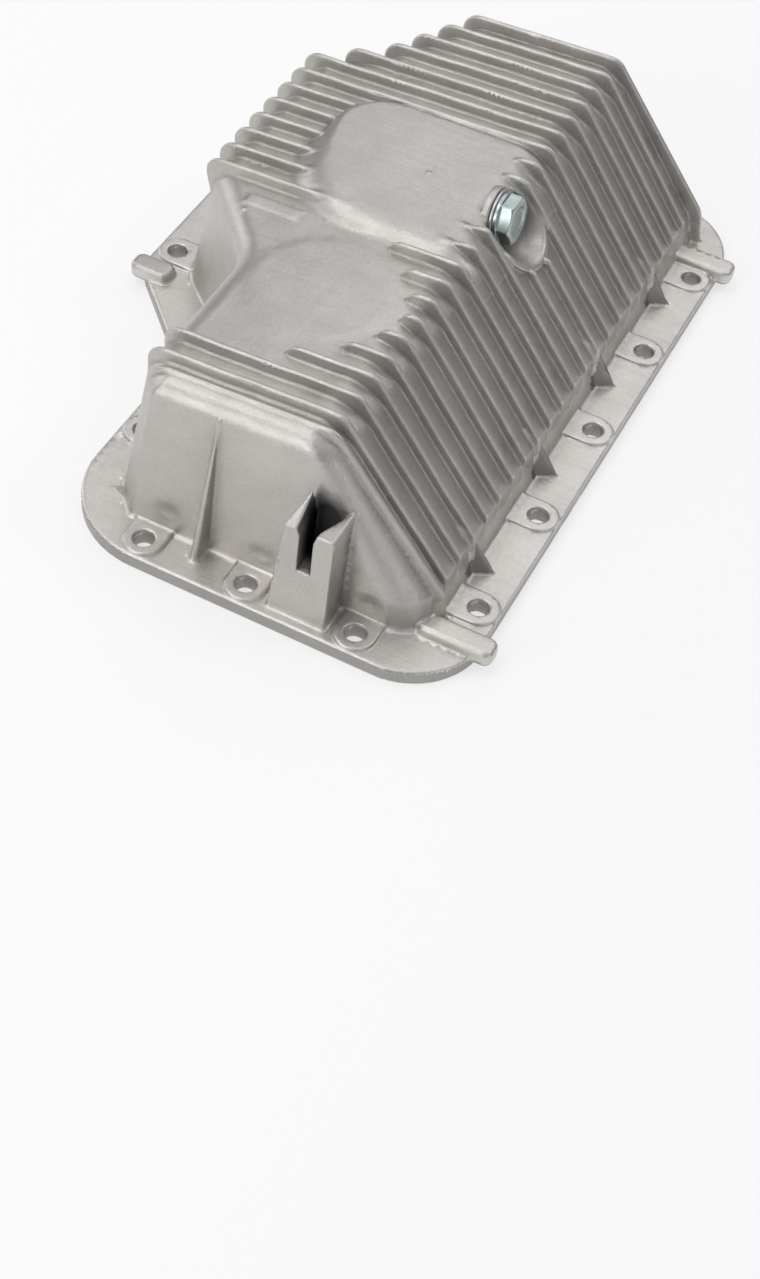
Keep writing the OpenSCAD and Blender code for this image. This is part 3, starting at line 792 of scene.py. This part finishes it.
def draw_casting():
    """The casting's field and that of its hollow. Nothing of it goes below the gasket face."""
    low = (NEAR_X - 2, -STRAIGHT_MARGIN - LUG_REACH - 2, -2)
    high = (FAR_X + 2, WIDE_REACH + 5, CREST_TOP + 3)
    grid = Grid(low, high, VOXEL)
    draw_walls(grid)
    draw_fins(grid)
    draw_gussets(grid)
    draw_rib(grid)
    draw_round_pad(grid)
    draw_sump_pad(grid)
    draw_low_ridge(grid)
    draw_seat(grid)
    draw_bolt_pads(grid)
    draw_lugs(grid)
    draw_bracket(grid)
    grid.field = np.maximum(grid.field, -grid.z)
    hollow = draw_cavity(grid)
    draw_dome(grid, hollow)
    draw_posts(grid, hollow)
    grid.field = meet(grid.field, -hollow, np.float32(0.8))
    cut_pocket(grid)
    cut_dents(grid)
    cut_bolt_holes(grid)
    return grid, hollow


def sample(field, places):
    """Values of a field between its voxels, by their own coordinates."""
    first = np.clip(np.floor(places).astype(int), 0, np.array(field.shape) - 2)
    t = (places - first).astype(np.float32)
    total = np.zeros(len(places), np.float32)
    for corner in range(8):
        step = np.array(((corner >> 2) & 1, (corner >> 1) & 1, corner & 1))
        weight = np.prod(np.where(step, t, 1 - t), axis=1)
        at = first + step
        total += weight * field[at[:, 0], at[:, 1], at[:, 2]]
    return total


def mesh_field(grid, adaptivity):
    """Points, normals and faces of the field's surface; faces hold three or four corners."""
    band = 3 * grid.voxel
    volume = openvdb.FloatGrid(band)
    volume.copyFromArray(np.clip(grid.field, -band, band).astype(np.float32))
    volume.gridClass = openvdb.GridClass.LEVEL_SET
    places, triangles, quads = volume.convertToPolygons(0.0, adaptivity)
    places = np.asarray(places, np.float32)
    slopes = [sample(grid.field, places + step) - sample(grid.field, places - step)
              for step in np.eye(3, dtype=np.float32)]
    normals = np.stack(slopes, axis=1)[:, ::-1]
    normals /= np.maximum(np.linalg.norm(normals, axis=1, keepdims=True), 1e-9)
    points = places[:, ::-1] * grid.voxel + grid.low
    return points, normals, [np.asarray(triangles, int), np.asarray(quads, int)]


def corner_normals(points, normals, faces, voxel):
    """Normals of the faces' corners: the field's own, save where a large face meets an edge."""
    found = []
    for f in faces:
        across = np.cross(points[f[:, 2]] - points[f[:, 0]], points[f[:, -1]] - points[f[:, 1]])
        size = np.linalg.norm(across, axis=1)
        flat = across / np.maximum(size, 1e-9)[:, None]
        own = normals[f]
        large = size > FLAT_SIZE * voxel * voxel
        off = large[:, None] & (np.einsum("ijk,ik->ij", own, flat) < FLAT_TURN)
        found.append(np.where(off[:, :, None], flat[:, None], own).reshape(-1, 3))
    return np.concatenate(found)


def make_piece(name, points, normals, faces, origin, voxel):
    """A mesh object from arrays, with smooth shading from the field's own normals."""
    used = np.unique(np.concatenate([f.ravel() for f in faces]))
    index = np.full(len(points), -1)
    index[used] = np.arange(len(used))
    faces = [f for f in faces if len(f)]
    shading = corner_normals(points, normals, faces, voxel)
    faces = [index[f] for f in faces]
    corners = np.concatenate([f.ravel() for f in faces])
    sizes = np.concatenate([np.full(len(f), f.shape[1]) for f in faces])
    mesh = bpy.data.meshes.new(name)
    mesh.vertices.add(len(used))
    mesh.vertices.foreach_set("co", ((points[used] + origin) * METRES).astype(np.float32).ravel())
    mesh.loops.add(len(corners))
    mesh.loops.foreach_set("vertex_index", corners.astype(np.int32))
    mesh.polygons.add(len(sizes))
    mesh.polygons.foreach_set("loop_start", (np.cumsum(sizes) - sizes).astype(np.int32))
    mesh.update(calc_edges=True)
    mesh.shade_smooth()
    mesh.normals_split_custom_set(shading)
    piece = bpy.data.objects.new(name, mesh)
    bpy.context.scene.collection.objects.link(piece)
    return piece


def face_way(points, normals, faces):
    """Faces turned so that they look out, as the normals do."""
    for f in faces:
        if len(f):
            a, b, c = (points[f[:, i]] for i in (0, 1, 2))
            if np.mean(np.einsum("ij,ij->i", np.cross(b - a, c - a), normals[f[:, 0]])) < 0:
                f[:] = f[:, ::-1]
    return faces


def plug_shape(x, y, z):
    """The plug in its own coordinates: Z runs outwards from the seat."""
    out = np.hypot(x, y)
    flats = [np.abs(x * math.sin(a) + y * math.cos(a)) - HEX_AF / 2 + 0 * z
             for a in (0, math.pi / 3, -math.pi / 3)]
    hexagon = meet(meet(flats[0], flats[1], 0.5), flats[2], 0.5)
    top = WASHER_T + HEAD_L
    chamfer = (out - 9.35) * 0.5 + (z - top) * 0.866
    crown = meet(meet(hexagon, z - top, 0.35), chamfer, 0.3)
    dish = 1.6 - np.hypot(np.maximum(out - 5.2, 0), z - top - 0.9)
    crown = meet(crown, dish, 0.3)
    head = meet(crown, WASHER_T + 0.2 - z, 0.2)
    collar = meet(meet(out - COLLAR_R + 0 * z, z - WASHER_T - COLLAR_T, 0.6), WASHER_T - z, 0.2)
    turns = np.mod(z / THREAD_PITCH - np.arctan2(y, x) / (2 * math.pi), 1)
    depth = THREAD_DEPTH * np.abs(2 * turns - 1)
    end = WASHER_T - SHANK_L
    thread = (out - SHANK_R + depth * np.clip((WASHER_T - 1.5 - z) / 1.5, 0, 1)) * 0.7
    shank = meet(meet(thread, end - z, 0.2), (out - SHANK_R + 1.2) * 0.7 + (end - z) * 0.7, 0.2)
    shank = meet(shank, z - WASHER_T - COLLAR_T, 0.1)
    return join(join(head, collar, 0.5), shank, 0.1)


def washer_shape(x, y, z):
    """The sealing washer in the same coordinates, with the rings that its turning left."""
    out = np.hypot(x, y)
    face = z - WASHER_T + 0.05 * (1 + np.cos(out * 9))
    return meet(meet(meet(out - WASHER_R + 0 * z, BORE_R - out + 0 * z, 0.2), face, 0.35), -z, 0.35)


def make_fitting(name, shape, low, high, material):
    """The plug or its washer, drawn along its axis and laid where the casting seats it."""
    grid = Grid(low, high, PLUG_VOXEL)
    grid.field = np.asarray(shape(grid.x, grid.y, grid.z), np.float32)
    points, normals, faces = mesh_field(grid, FITTING_MERGE)
    faces = face_way(points, normals, faces)
    lean = math.pi / 2 - PLUG_TILT
    turn = np.array(((1, 0, 0),
                     (0, math.cos(lean), -math.sin(lean)),
                     (0, math.sin(lean), math.cos(lean))))
    place = np.array((PLUG_X, SEAT_Y, PLUG_Z)) + np.array(first_hole)
    piece = make_piece(name + "_detail", points @ turn.T, normals @ turn.T, faces, place,
                       PLUG_VOXEL)
    piece.data.materials.append(material)
    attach(piece, "root")
    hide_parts(name)


def casting_parts(points, in_hollow):
    """The casting's pieces: which points each has, and its material. The flange and its short wall
    get a brighter copy, painted light; the gussets and the flange's sides get darker copies,
    painted shade.
    """
    x, y, z = points.T
    gasket = z < GASKET_SKIN
    from_gusset = np.abs(np.mod((x - FIRST_FIN_X) / FIN_PITCH + 0.7, 5) - 2.5) * FIN_PITCH
    on_gusset = (from_gusset < 4.5) & (y < 12.6) & (x > 0) & (x < 230)
    on_gusset &= (z > FLANGE_T + 0.6) & (z < 24)
    on_edge = (z < FLANGE_T - 1) & ~in_hollow & ~gasket
    plain = ~in_hollow & ~gasket & ~on_gusset & ~on_edge
    on_flange = plain & ((z < FLANGE_T + 2) | ((y < BEND_Y - 1) & (z < BEND_H - 3)))
    metal = cast_material("cast_aluminium", 1, 0.7)
    return {
        "casting_inside": (in_hollow & ~gasket, metal),
        "casting_gasket_face": (gasket, milled_material()),
        # Painted shade: a darker copy of the metal on the gussets and the wall beside them
        "casting_gussets": (on_gusset, cast_material("cast_painted_shade", 0.6, 0.7)),
        # Painted shade: a darker copy of the metal on the flange's sides and in its holes
        "casting_edge": (on_edge, cast_material("cast_edge_painted_shade", 0.72, 0.7)),
        # Painted light: a brighter copy of the metal on the flange and on the short wall above it
        "casting_flange": (on_flange, cast_material("cast_painted_light", 1.22, 0.2)),
        "casting_slope": (plain & ~on_flange & (y < KNEE_Y), metal),
        "casting_top": (plain & ~on_flange & (y >= KNEE_Y), metal),
    }


def make_casting():
    grid, hollow = draw_casting()
    points, normals, faces = mesh_field(grid, CASTING_MERGE)
    faces = face_way(points, normals, faces)
    places = (points - grid.low)[:, ::-1] / grid.voxel
    in_hollow = sample(hollow, places) < HOLLOW_SKIN
    origin = np.array(first_hole)
    for name, (chosen, material) in casting_parts(points, in_hollow).items():
        part = [f[chosen[f[:, 0]]] if len(f) else f for f in faces]
        piece = make_piece(name, points, normals, part, origin, grid.voxel)
        piece.data.materials.append(material)
        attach(piece, "root")
        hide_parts("pan")


# Materials: the casting's grey is a little warm, and streaks run across the pan, as the fins do
CAST_TINT = (1, 0.985, 0.965)
ALONG_FINS = (1, 0.05, 0.05)


def node_material(name):
    material = bpy.data.materials.new(name)
    material.use_nodes = True
    tree = material.node_tree
    shader = tree.nodes["Principled BSDF"]
    return material, tree, shader


def noise(tree, scale, detail=4, rough=0.55, stretch=(1, 1, 1)):
    """A noise texture in the part's own coordinates, stretched along its axes."""
    place = tree.nodes.new("ShaderNodeTexCoord")
    mapping = tree.nodes.new("ShaderNodeMapping")
    mapping.inputs["Scale"].default_value = stretch
    texture = tree.nodes.new("ShaderNodeTexNoise")
    texture.inputs["Scale"].default_value = scale
    texture.inputs["Detail"].default_value = detail
    texture.inputs["Roughness"].default_value = rough
    tree.links.new(place.outputs["Object"], mapping.inputs["Vector"])
    tree.links.new(mapping.outputs["Vector"], texture.inputs["Vector"])
    return texture.outputs["Fac"]


def ramp(tree, value, low, high, first, second):
    """A colour between two, as a value goes from low to high."""
    node = tree.nodes.new("ShaderNodeValToRGB")
    node.color_ramp.elements[0].position = low
    node.color_ramp.elements[0].color = (*first, 1)
    node.color_ramp.elements[1].position = high
    node.color_ramp.elements[1].color = (*second, 1)
    tree.links.new(value, node.inputs["Fac"])
    return node.outputs["Color"]


def blend_colours(tree, share, first, second, kind="MIX"):
    node = tree.nodes.new("ShaderNodeMix")
    node.data_type = "RGBA"
    node.blend_type = kind
    if hasattr(share, "links"):
        tree.links.new(share, node.inputs["Factor"])
    else:
        node.inputs["Factor"].default_value = share
    tree.links.new(first, node.inputs["A"])
    tree.links.new(second, node.inputs["B"])
    return node.outputs["Result"]


def span(tree, value, low, high):
    """A value from 0 to 1 mapped to low to high."""
    node = tree.nodes.new("ShaderNodeMapRange")
    node.inputs["To Min"].default_value = low
    node.inputs["To Max"].default_value = high
    tree.links.new(value, node.inputs["Value"])
    return node.outputs["Result"]


def bump(tree, value, distance, under=None):
    node = tree.nodes.new("ShaderNodeBump")
    node.inputs["Distance"].default_value = distance
    node.inputs["Strength"].default_value = 1
    tree.links.new(value, node.inputs["Height"])
    if under is not None:
        tree.links.new(under, node.inputs["Normal"])
    return node.outputs["Normal"]


def near_slot(tree):
    """A value that falls from 1 in the middle of the bracket's slot to 0 round it."""
    middle = (Vector((-26.5, SLOT_Y - 1, 44)) + first_hole) * METRES
    reach = (0.0125, 0.0125, 0.024)
    place = tree.nodes.new("ShaderNodeTexCoord")
    mapping = tree.nodes.new("ShaderNodeMapping")
    mapping.inputs["Scale"].default_value = [1 / r for r in reach]
    mapping.inputs["Location"].default_value = [-m / r for m, r in zip(middle, reach)]
    fade = tree.nodes.new("ShaderNodeTexGradient")
    fade.gradient_type = "SPHERICAL"
    tree.links.new(place.outputs["Object"], mapping.inputs["Vector"])
    tree.links.new(mapping.outputs["Vector"], fade.inputs["Vector"])
    return fade.outputs["Fac"]


def cast_material(name, tone, crease_shade_share):
    """Blasted cast aluminium: warm grey with blotches, streaks along the fins and a fine grain,
    with a painted highlight on convex edges, painted shade in hollows and creases, and painted
    shade in the bracket's slot. The tone makes it darker or brighter."""
    material, tree, shader = node_material(name)

    def grey(value, low, high, first, second):
        return ramp(tree, value, low, high, [c * t * tone for c, t in zip(first, CAST_TINT)],
                    [c * t * tone for c, t in zip(second, CAST_TINT)])

    blotches = grey(noise(tree, 30, 6), 0.34, 0.68, (0.445, 0.43, 0.41), (0.62, 0.605, 0.585))
    streaks = grey(noise(tree, 420, 5, 0.6, ALONG_FINS), 0.3, 0.72,
                   (0.43, 0.415, 0.40), (0.64, 0.63, 0.61))
    grain = grey(noise(tree, 900, 5, 0.7), 0.3, 0.75, (0.44, 0.43, 0.415), (0.64, 0.63, 0.61))
    colour = blend_colours(tree, 0.35, blotches, streaks)
    colour = blend_colours(tree, 0.5, colour, grain)
    form = tree.nodes.new("ShaderNodeNewGeometry").outputs["Pointiness"]
    # Painted shade: darker in hollows and creases, where the pointiness is low
    crease_shade = ramp(tree, form, 0.45, 0.5, (0.46, 0.44, 0.44), (1, 1, 1))
    colour = blend_colours(tree, crease_shade_share, colour, crease_shade, "MULTIPLY")
    # Painted highlight: brighter on convex edges and fin crests, where the pointiness is high
    edge_highlight = ramp(tree, form, 0.53, 0.62, (0, 0, 0), (1, 1, 1))
    bright = grey(noise(tree, 200, 4), 0.3, 0.7, (0.74, 0.74, 0.74), (0.88, 0.88, 0.88))
    colour = blend_colours(tree, edge_highlight, colour, bright)
    # Painted shade: dark in the middle of the bracket's slot
    slot_shade = ramp(tree, near_slot(tree), 0.05, 0.4, (1, 1, 1), (0.1, 0.1, 0.12))
    colour = blend_colours(tree, 1, colour, slot_shade, "MULTIPLY")
    tree.links.new(colour, shader.inputs["Base Color"])
    shader.inputs["Metallic"].default_value = 0.88
    tree.links.new(span(tree, noise(tree, 70, 6), 0.32, 0.52), shader.inputs["Roughness"])
    waves = bump(tree, noise(tree, 60, 3), 0.0005)
    lines = bump(tree, noise(tree, 420, 5, 0.6, ALONG_FINS), 0.00012, waves)
    fine = bump(tree, noise(tree, 1300, 4, 0.6), 0.00013, lines)
    tree.links.new(fine, shader.inputs["Normal"])
    return material


def milled_material():
    """The milled gasket face: brighter, with fine straight marks across it."""
    material, tree, shader = node_material("milled_aluminium")
    marks = noise(tree, 900, 4, 0.6, (1, 0.02, 1))
    colour = ramp(tree, marks, 0.3, 0.7, (0.60, 0.60, 0.59), (0.74, 0.74, 0.73))
    tree.links.new(colour, shader.inputs["Base Color"])
    shader.inputs["Metallic"].default_value = 0.95
    tree.links.new(span(tree, noise(tree, 120, 4), 0.28, 0.42), shader.inputs["Roughness"])
    tree.links.new(bump(tree, marks, 0.00003), shader.inputs["Normal"])
    return material


def zinc_material():
    """Bright zinc plate with a cool tint."""
    material, tree, shader = node_material("zinc_plate")
    colour = ramp(tree, noise(tree, 160, 4), 0.35, 0.7, (0.40, 0.46, 0.46), (0.56, 0.61, 0.61))
    tree.links.new(colour, shader.inputs["Base Color"])
    shader.inputs["Metallic"].default_value = 1
    tree.links.new(span(tree, noise(tree, 300, 4), 0.28, 0.42), shader.inputs["Roughness"])
    tree.links.new(bump(tree, noise(tree, 700, 3), 0.00004), shader.inputs["Normal"])
    return material


def washer_material():
    """Soft aluminium with the fine rings of its turning."""
    material, tree, shader = node_material("washer_metal")
    colour = ramp(tree, noise(tree, 400, 3), 0.35, 0.7, (0.50, 0.50, 0.49), (0.62, 0.62, 0.61))
    tree.links.new(colour, shader.inputs["Base Color"])
    shader.inputs["Metallic"].default_value = 1
    tree.links.new(span(tree, noise(tree, 500, 3), 0.3, 0.45), shader.inputs["Roughness"])
    tree.links.new(bump(tree, noise(tree, 900, 3), 0.00003), shader.inputs["Normal"])
    return material


def floor_material():
    """Plain pale floor. The camera and reflections see it nearer to white, shadows and all."""
    material, tree, shader = node_material("pale_floor")
    shader.inputs["Base Color"].default_value = (0.95, 0.95, 0.95, 1)
    shader.inputs["Roughness"].default_value = 0.8
    shader.inputs["Specular IOR Level"].default_value = 0
    glow = tree.nodes.new("ShaderNodeEmission")
    glow.inputs["Strength"].default_value = 1
    rays = tree.nodes.new("ShaderNodeLightPath")
    seen = rays.outputs["Is Camera Ray"]
    for kind in ("Is Glossy Ray", "Is Transmission Ray"):
        either = tree.nodes.new("ShaderNodeMath")
        either.operation = "MAXIMUM"
        tree.links.new(seen, either.inputs[0])
        tree.links.new(rays.outputs[kind], either.inputs[1])
        seen = either.outputs[0]
    share = tree.nodes.new("ShaderNodeMath")
    share.operation = "MULTIPLY"
    share.inputs[1].default_value = 0.66
    tree.links.new(seen, share.inputs[0])
    mix = tree.nodes.new("ShaderNodeMixShader")
    tree.links.new(share.outputs[0], mix.inputs["Fac"])
    tree.links.new(shader.outputs[0], mix.inputs[1])
    tree.links.new(glow.outputs[0], mix.inputs[2])
    tree.links.new(mix.outputs[0], tree.nodes["Material Output"].inputs["Surface"])
    return material


def make_floor():
    mesh = bpy.data.meshes.new("floor")
    reach = 6
    corners = [(-reach, -reach, 0), (reach, -reach, 0), (reach, reach, 0), (-reach, reach, 0)]
    mesh.from_pydata(corners, [], [(0, 1, 2, 3)])
    floor = bpy.data.objects.new("floor", mesh)
    bpy.context.scene.collection.objects.link(floor)
    floor.data.materials.append(floor_material())


def make_world():
    """Soft light from above, dimmer towards the horizon."""
    world = bpy.data.worlds.new("studio")
    bpy.context.scene.world = world
    world.use_nodes = True
    tree = world.node_tree
    background = tree.nodes["Background"]
    place = tree.nodes.new("ShaderNodeTexCoord")
    split = tree.nodes.new("ShaderNodeSeparateXYZ")
    tree.links.new(place.outputs["Generated"], split.inputs["Vector"])
    sky = ramp(tree, split.outputs["Z"], 0.05, 0.75, (0.16, 0.165, 0.175), (0.62, 0.63, 0.65))
    tree.links.new(sky, background.inputs["Color"])
    background.inputs["Strength"].default_value = 0.66


# Lamps: name, place, width and height, and power. All aim at the middle of the part.
LAMP_AIM = Vector((0, 0, 0.05))
LAMPS = [
    ("top_softbox", (0.95, 0.15, 1.15), (1.3, 1.2), 4.5),
    ("overhead_softbox", (-0.3, 0.5, 1.5), (0.7, 0.7), 5.5),
    ("left_softbox", (-1.3, 0.5, 0.7), (0.8, 0.8), 6),
    ("back_softbox", (0.1, 1.3, 0.5), (0.8, 0.6), 3),
    ("key_lamp", (0.5, -0.9, 1.3), (0.4, 0.4), 3),
    ("front_lamp", (-0.75, -1.25, 0.45), (0.35, 0.35), 1.2),
]


def make_lamp(name, place, size, power):
    data = bpy.data.lights.new(name, "AREA")
    data.shape = "RECTANGLE"
    data.size, data.size_y = size
    data.energy = power
    lamp = bpy.data.objects.new(name, data)
    lamp.location = place
    lamp.rotation_euler = (LAMP_AIM - Vector(place)).to_track_quat("-Z", "Y").to_euler()
    bpy.context.scene.collection.objects.link(lamp)


# The camera stands where the photograph was taken from, as found from the bolt holes. Its focus
# is in pixels of the photograph, and the sensor in millimetres.
CAMERA_PLACE = (-0.64813, -0.27061, 0.64488)
CAMERA_TURN = [math.radians(a) for a in (39.36, -4.645, -63.039)]
CAMERA_FOCUS = 2055.7
PICTURE_LONG_SIDE = 1279
SENSOR = 36


def make_camera():
    data = bpy.data.cameras.new("camera")
    data.sensor_fit = "AUTO"
    data.sensor_width = SENSOR
    data.lens = CAMERA_FOCUS / PICTURE_LONG_SIDE * SENSOR
    camera = bpy.data.objects.new("camera", data)
    camera.location = CAMERA_PLACE
    camera.rotation_euler = Euler(CAMERA_TURN)
    bpy.context.scene.collection.objects.link(camera)
    bpy.context.scene.camera = camera
    bpy.context.scene.view_settings.view_transform = "Standard"


make_camera()
make_world()
for lamp_row in LAMPS:
    make_lamp(*lamp_row)
make_floor()
make_casting()
make_fitting("drain_plug", plug_shape, (-12.5, -12.5, WASHER_T - SHANK_L - 1),
             (12.5, 12.5, WASHER_T + HEAD_L + 1), zinc_material())
make_fitting("sealing_washer", washer_shape, (-13, -13, -1), (13, 13, WASHER_T + 1),
             washer_material())
